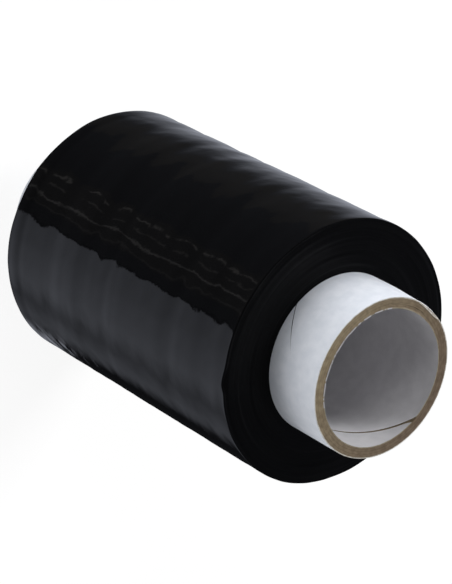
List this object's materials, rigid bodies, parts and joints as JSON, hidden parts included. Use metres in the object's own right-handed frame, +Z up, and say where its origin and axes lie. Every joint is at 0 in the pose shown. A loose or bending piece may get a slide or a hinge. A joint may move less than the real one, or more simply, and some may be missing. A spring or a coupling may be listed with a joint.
{
  "type": "stretch wrap roll",
  "caption": "Hand roll of glossy black stretch film wound on a paper core whose bare ends stand out as handles.",
  "frame": {"origin": "centre of the core's lower end, which the roll stands on", "axes": "+Z up the core's axis, towards the end that the picture shows; -Y towards the picture's camera"},
  "size_m": [0.0734, 0.0734, 0.137],
  "materials": {
    "film": "glossy black stretch film, wound tight",
    "core_board": "brown board, cut square",
    "core_paper": "smooth matt white paper"
  },
  "bodies": {
    "root": {"film_roll": "film", "core_board": "core_board", "core_inner_liner": "core_paper", "core_outer_liner": "core_paper"}
  },
  "joints": []
}
